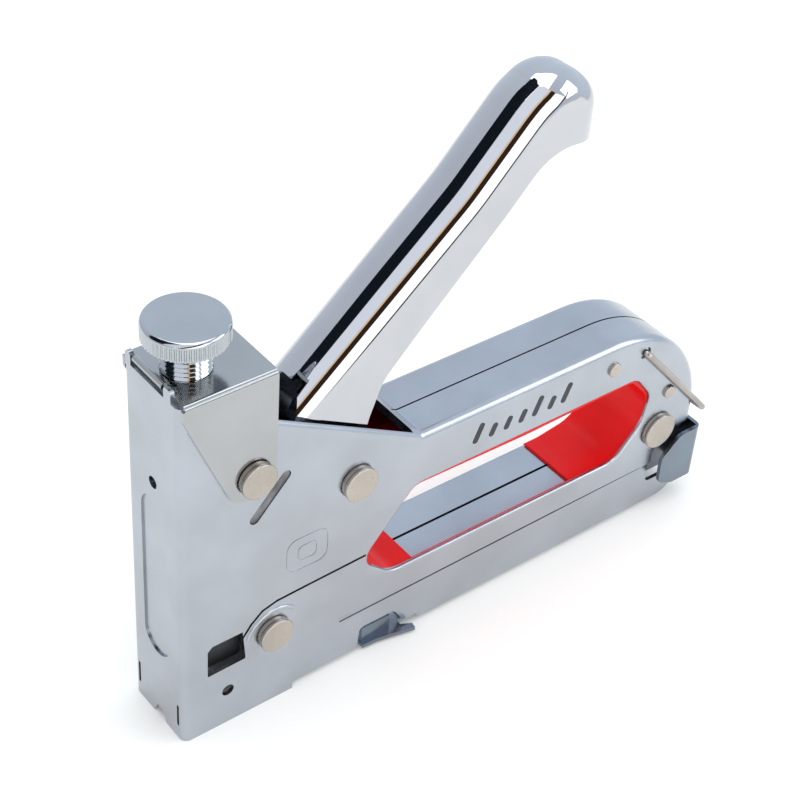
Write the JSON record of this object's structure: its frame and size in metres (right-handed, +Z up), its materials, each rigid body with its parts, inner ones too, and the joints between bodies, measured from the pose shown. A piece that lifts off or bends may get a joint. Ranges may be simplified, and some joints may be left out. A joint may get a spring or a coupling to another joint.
{
  "type": "staple gun",
  "caption": "Hand tacker with a folded steel body, sprung squeeze lever, screw force adjuster, red finger guard, staple drawer and locking wire.",
  "frame": {"origin": "middle of the nose's front edge at the foot, where the staple leaves", "axes": "+X from the nose to the tail, +Y across the body, +Z up from the foot to the adjuster"},
  "size_m": [0.1839, 0.0302, 0.1613],
  "materials": {
    "plated_body": "bright zinc plate, slightly blue",
    "plated_cap": "bright nickel plate, slightly warm",
    "lever_chrome": "polished chrome",
    "knob_chrome": "polished chrome",
    "rivet_nickel": "satin nickel",
    "guard_red": "semi-gloss moulded red",
    "rail_steel": "cold rolled steel",
    "dark_rubber": "black moulded rubber",
    "spring_steel": "oiled spring wire",
    "hammer_steel": "phosphated steel",
    "wire_nickel": "satin nickel wire",
    "latch_zinc": "zinc plate",
    "staple_steel": "galvanised wire"
  },
  "bodies": {
    "frame": {"body_shell": "plated_body", "head_bracket": "plated_cap", "front_bar": "plated_cap", "adjuster_nut": "hammer_steel", "finger_guard": "guard_red", "staple_channel": "rail_steel", "stop_block": "dark_rubber", "rail_catch": "latch_zinc", "pivot_pin": "rivet_nickel", "bracket_rivet": "rivet_nickel", "front_rivet": "rivet_nickel", "tail_rivet": "rivet_nickel", "grip_rivet": "rivet_nickel", "corner_rivet": "rivet_nickel", "pivot_sleeve": "hammer_steel", "tail_spacer": "hammer_steel", "grip_spacer": "hammer_steel", "corner_spacer": "hammer_steel"},
    "lever": {"lever": "lever_chrome"},
    "hammer": {"hammer": "hammer_steel", "hammer_pin": "hammer_steel", "driver_blade": "hammer_steel"},
    "adjuster_carriage": {"spring_seat": "hammer_steel", "main_spring": "spring_steel"},
    "adjuster_knob": {"adjuster_knob": "knob_chrome"},
    "drawer": {"staple_rail": "rail_steel", "guide_rod": "rail_steel", "end_plug": "rail_steel", "rear_latch": "latch_zinc", "staple_strip": "staple_steel", "pusher_spring": "spring_steel"},
    "pusher": {"pusher": "rail_steel", "pusher_collar": "rail_steel"},
    "bail": {"wire_bail": "wire_nickel"}
  },
  "joints": [
    {"name": "lever_squeeze", "type": "hinge", "parent": "frame", "child": "lever", "pos_m": [0.0528, 0, 0.065], "axis": [0, 1, 0], "range_deg": [0, 36], "stiffness_Nm_per_rad": 2, "springref_deg": -22.92},
    {"name": "hammer_lift", "type": "slide", "parent": "frame", "child": "hammer", "axis": [0, 0, 1], "range_m": [0, 0.02801], "deforming": ["main_spring"]},
    {"name": "adjuster_travel", "type": "slide", "parent": "frame", "child": "adjuster_carriage", "axis": [0, 0, 1], "range_m": [-0.005, 0], "deforming": ["main_spring"]},
    {"name": "knob_turn", "type": "hinge", "parent": "adjuster_carriage", "child": "adjuster_knob", "pos_m": [0.0097, 0, 0.12], "axis": [0, 0, 1], "range_deg": [-1440.01, 0]},
    {"name": "drawer_slide", "type": "slide", "parent": "frame", "child": "drawer", "axis": [1, 0, 0], "range_m": [0, 0.11]},
    {"name": "pusher_slide", "type": "slide", "parent": "drawer", "child": "pusher", "axis": [1, 0, 0], "range_m": [0, 0.06], "stiffness_N_per_m": 30, "springref_m": -0.04, "deforming": ["pusher_spring"]},
    {"name": "bail_swing", "type": "hinge", "parent": "frame", "child": "bail", "pos_m": [0.1533, 0, 0.0638], "axis": [0, -1, 0], "range_deg": [0, 90]}
  ],
  "couplings": [
    {"joint": "hammer_lift", "follows": "lever_squeeze", "m_per_rad": 0.044576},
    {"joint": "knob_turn", "follows": "adjuster_travel", "rad_per_m": 5026.5}
  ]
}
